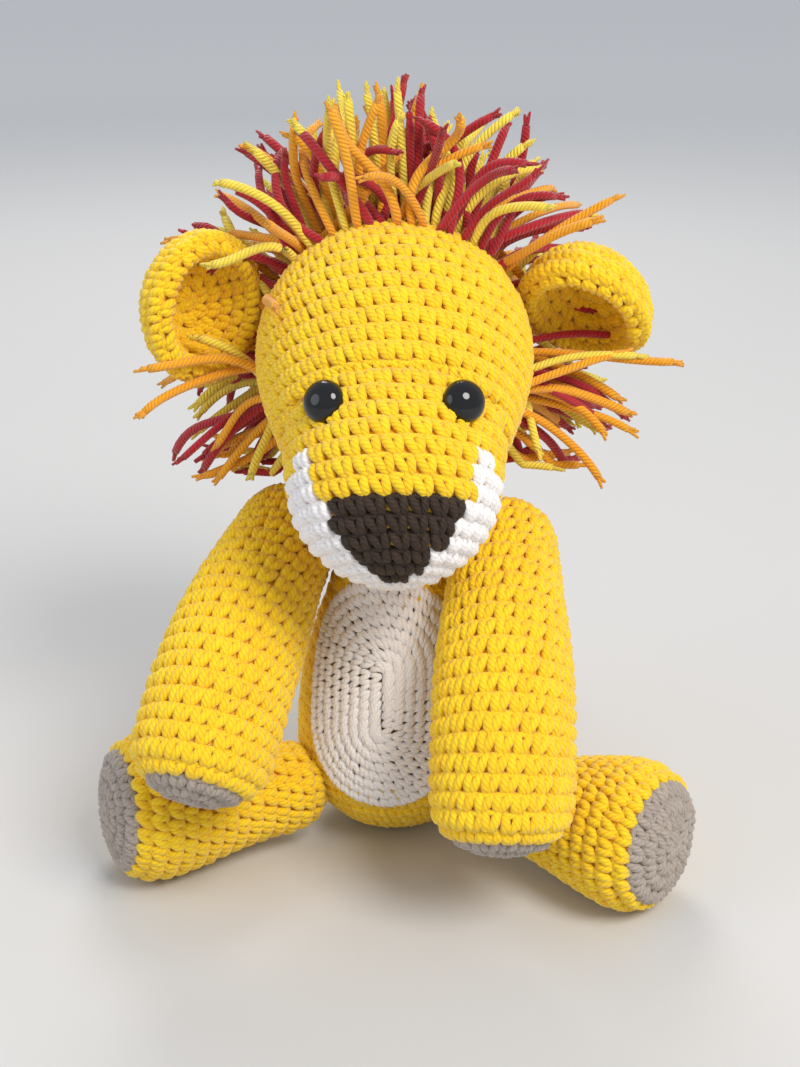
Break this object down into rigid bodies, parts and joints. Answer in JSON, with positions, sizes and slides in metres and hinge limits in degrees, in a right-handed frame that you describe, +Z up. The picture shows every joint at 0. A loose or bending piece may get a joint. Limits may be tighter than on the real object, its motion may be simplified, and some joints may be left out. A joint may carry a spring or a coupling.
{
  "type": "crocheted toy lion",
  "caption": "Seated soft toy lion, crocheted and stuffed, with safety eyes, cupped ears, a knotted yarn mane, and a head, ears, arms, legs and tail that flex at their seams.",
  "frame": {"origin": "on the surface it sits on, under the middle of the bounding box", "axes": "+Z up, the belly and feet face -Y; nodes named left are at -X, the viewer's left when facing the toy"},
  "size_m": [0.1714, 0.146, 0.2145],
  "materials": {
    "yellow_yarn": "single crochet in golden yellow acrylic yarn",
    "white_yarn": "single crochet in white acrylic yarn",
    "brown_yarn": "single crochet in dark brown acrylic yarn",
    "taupe_yarn": "single crochet in grey-brown acrylic yarn",
    "mane_orange": "cut lengths of orange yarn",
    "mane_red": "cut lengths of dark red yarn",
    "mane_lemon": "cut lengths of pale yellow yarn",
    "fibrefill": "loose white polyester toy filling",
    "eye_black": "polished black",
    "washer_plastic": "moulded white plastic"
  },
  "bodies": {
    "torso": {"body_shell": "yellow_yarn", "body_stuffing": "fibrefill", "belly_patch": "white_yarn"},
    "neck": {"neck_stuffing": "fibrefill", "neck_seam": "yellow_yarn"},
    "head": {"head_shell": "yellow_yarn", "muzzle_cap": "white_yarn", "nose": "brown_yarn", "head_stuffing": "fibrefill", "left_eye": "eye_black", "left_eye_washer": "washer_plastic", "right_eye": "eye_black", "right_eye_washer": "washer_plastic", "mane_lock_01": "mane_orange", "mane_lock_02": "mane_red", "mane_lock_03": "mane_lemon", "mane_lock_04": "mane_orange", "mane_lock_05": "mane_red", "mane_lock_06": "mane_lemon", "mane_lock_07": "mane_orange", "mane_lock_08": "mane_red", "mane_lock_09": "mane_lemon", "mane_lock_10": "mane_orange", "mane_lock_11": "mane_red", "mane_lock_12": "mane_lemon", "mane_lock_13": "mane_orange", "mane_lock_14": "mane_red", "mane_lock_15": "mane_lemon", "mane_lock_16": "mane_orange", "mane_lock_17": "mane_red", "mane_lock_18": "mane_lemon", "mane_lock_19": "mane_orange", "mane_lock_20": "mane_red"},
    "left_ear": {"left_ear": "yellow_yarn"},
    "right_ear": {"right_ear": "yellow_yarn"},
    "left_arm": {"left_arm_shell": "yellow_yarn", "left_arm_stuffing": "fibrefill", "left_paw_pad": "taupe_yarn"},
    "right_arm": {"right_arm_shell": "yellow_yarn", "right_arm_stuffing": "fibrefill", "right_paw_pad": "taupe_yarn"},
    "left_leg": {"left_leg_shell": "yellow_yarn", "left_leg_stuffing": "fibrefill", "left_sole": "taupe_yarn"},
    "right_leg": {"right_leg_shell": "yellow_yarn", "right_leg_stuffing": "fibrefill", "right_sole": "taupe_yarn"},
    "tail": {"tail": "yellow_yarn", "tail_tuft": "mane_red"}
  },
  "joints": [
    {"name": "head_turn", "type": "hinge", "parent": "torso", "child": "neck", "pos_m": [-0.0035, 0.00501, 0.1], "axis": [0, 0, 1], "range_deg": [-38, 12]},
    {"name": "head_nod", "type": "hinge", "parent": "neck", "child": "head", "pos_m": [-0.0035, 0.00501, 0.106], "axis": [0.9903, 0.1392, 0], "range_deg": [-12, 6]},
    {"name": "left_ear_flop", "type": "hinge", "parent": "head", "child": "left_ear", "pos_m": [-0.04309, 0.00652, 0.156], "axis": [0, 0, -1], "range_deg": [-10, 10]},
    {"name": "right_ear_flop", "type": "hinge", "parent": "head", "child": "right_ear", "pos_m": [0.03415, 0.01737, 0.156], "axis": [0, 0, 1], "range_deg": [-10, 10]},
    {"name": "left_arm_swing", "type": "hinge", "parent": "torso", "child": "left_arm", "pos_m": [-0.0355, 0.00701, 0.089], "axis": [-0.7952, 0.1093, -0.5964], "range_deg": [0, 20]},
    {"name": "right_arm_swing", "type": "hinge", "parent": "torso", "child": "right_arm", "pos_m": [0.0285, 0.00201, 0.09], "axis": [-0.6018, -0.1003, 0.7923], "range_deg": [0, 20]},
    {"name": "left_leg_spread", "type": "hinge", "parent": "torso", "child": "left_leg", "pos_m": [-0.0339, -0.01539, 0.0176], "axis": [0, 0, -1], "range_deg": [0, 25]},
    {"name": "right_leg_spread", "type": "hinge", "parent": "torso", "child": "right_leg", "pos_m": [0.0335, -0.01259, 0.0178], "axis": [0, 0, 1], "range_deg": [0, 25]},
    {"name": "tail_wag", "type": "hinge", "parent": "torso", "child": "tail", "pos_m": [-0.0035, 0.03351, 0.019], "axis": [0, 0, 1], "range_deg": [-12, 12]}
  ]
}
